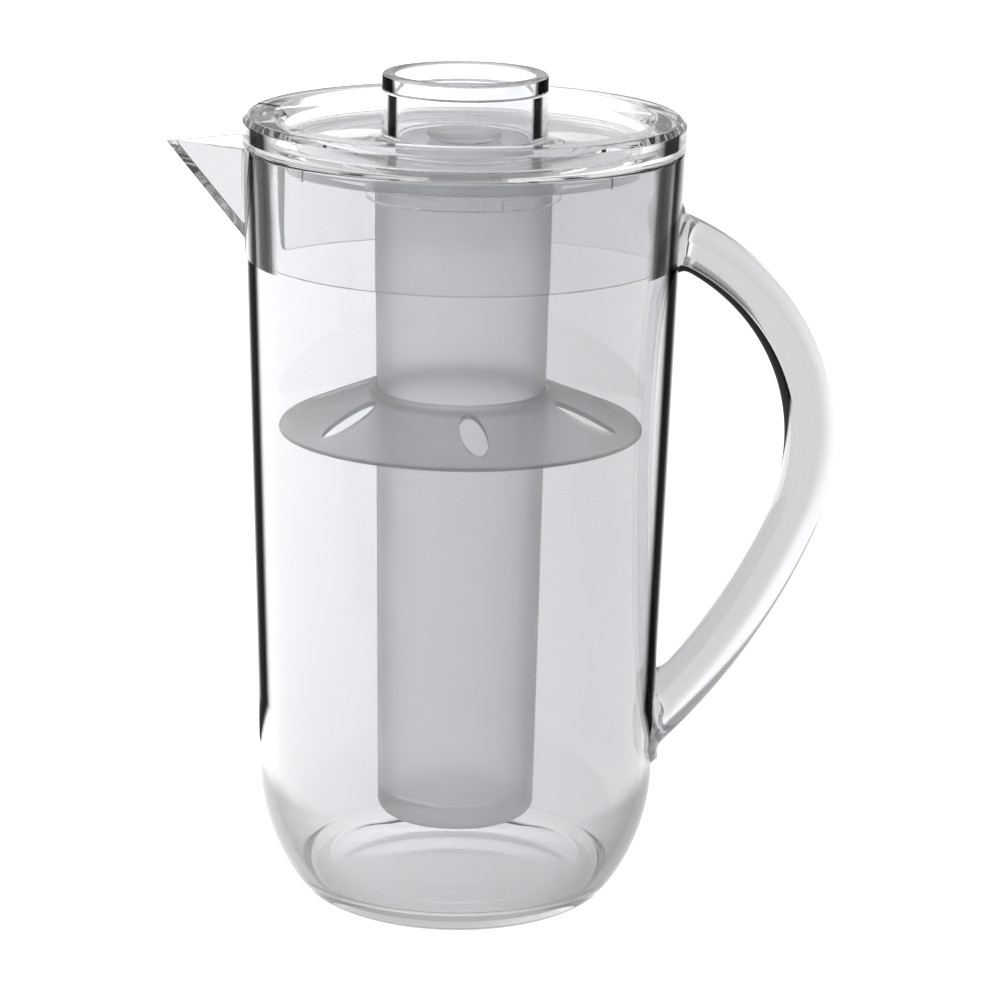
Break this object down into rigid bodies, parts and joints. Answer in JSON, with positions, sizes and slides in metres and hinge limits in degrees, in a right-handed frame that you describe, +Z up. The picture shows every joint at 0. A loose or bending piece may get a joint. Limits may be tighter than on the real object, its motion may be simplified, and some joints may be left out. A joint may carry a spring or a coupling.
{
  "type": "fruit infusion pitcher",
  "caption": "Clear tall pitcher with V lip and loop handle; its turning lid hangs a frosted core tube on which a perforated cone baffle slides to hold fruit.",
  "frame": {"origin": "centre of the flat foot, on the table", "axes": "+Z up along the vessel's axis, +X towards the handle, -X towards the pouring lip"},
  "size_m": [0.2161, 0.1408, 0.2711],
  "materials": {
    "clear_acrylic": "clear, polished",
    "frosted_polymer": "translucent, satin",
    "silicone": "translucent, matte"
  },
  "bodies": {
    "vessel": {"pitcher_body": "clear_acrylic", "pour_spout": "clear_acrylic", "handle": "clear_acrylic"},
    "core": {"core_tube": "frosted_polymer"},
    "cover": {"lid": "clear_acrylic", "core_seal": "silicone"},
    "plug": {"core_plug": "frosted_polymer"},
    "baffle": {"fruit_baffle": "frosted_polymer"}
  },
  "joints": [
    {"name": "lid_lift", "type": "slide", "parent": "vessel", "child": "core", "axis": [0, 0, 1], "range_m": [0, 0.235]},
    {"name": "lid_turn", "type": "hinge", "parent": "core", "child": "cover", "pos_m": [0, 0, 0.25], "axis": [0, 0, 1], "continuous": true},
    {"name": "plug_lift", "type": "slide", "parent": "cover", "child": "plug", "axis": [0, 0, 1], "range_m": [0, 0.03]},
    {"name": "baffle_slide", "type": "slide", "parent": "core", "child": "baffle", "axis": [0, 0, 1], "range_m": [-0.11, 0]}
  ]
}
